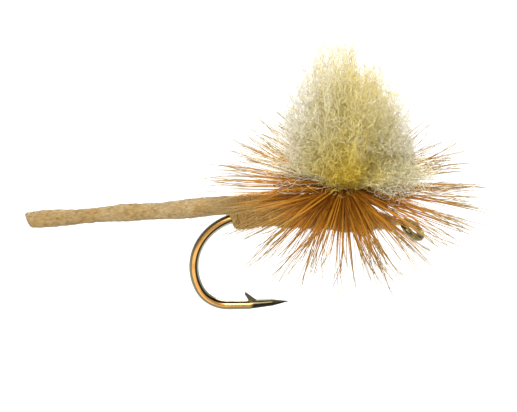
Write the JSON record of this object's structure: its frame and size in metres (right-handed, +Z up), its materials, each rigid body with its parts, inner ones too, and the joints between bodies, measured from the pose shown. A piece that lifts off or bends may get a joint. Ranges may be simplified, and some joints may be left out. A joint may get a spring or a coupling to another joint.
{
  "type": "dry fly",
  "caption": "Parachute dry fly with an extended cord body, upright yarn wing post and radiating hackle on a barbed down-eye hook.",
  "frame": {"origin": "centre of the hook eye's hole", "axes": "+X forward along the hook shank towards the eye's end, +Z up through the wing post, +Y to the fly's left"},
  "size_m": [0.0285, 0.0161, 0.0193],
  "materials": {
    "hook_bronze": "bronzed carbon steel wire, satin",
    "tan_thread": "fine waxed tying thread",
    "cord_pile": "matt short pile",
    "core_thread": "twisted cotton",
    "body_dubbing": "loose matt fur",
    "wing_yarn": "crinkled polypropylene yarn",
    "hackle_feather": "glossy ginger cock hackle",
    "head_thread": "waxed tying thread",
    "head_varnish": "clear gloss varnish"
  },
  "bodies": {
    "root": {"hook": "hook_bronze", "thread_base": "tan_thread", "body_cord": "cord_pile", "cord_core": "core_thread", "body_wraps": "tan_thread", "rear_dubbing": "body_dubbing", "abdomen_dubbing": "body_dubbing", "thorax_dubbing": "body_dubbing", "wing_yarn": "wing_yarn", "post_wraps": "tan_thread", "hackle_stem": "hackle_feather", "hackle_barbs": "hackle_feather", "tie_off_wraps": "tan_thread", "head_thread": "head_thread", "whip_finish": "head_thread", "head_cement": "head_varnish"}
  },
  "joints": []
}
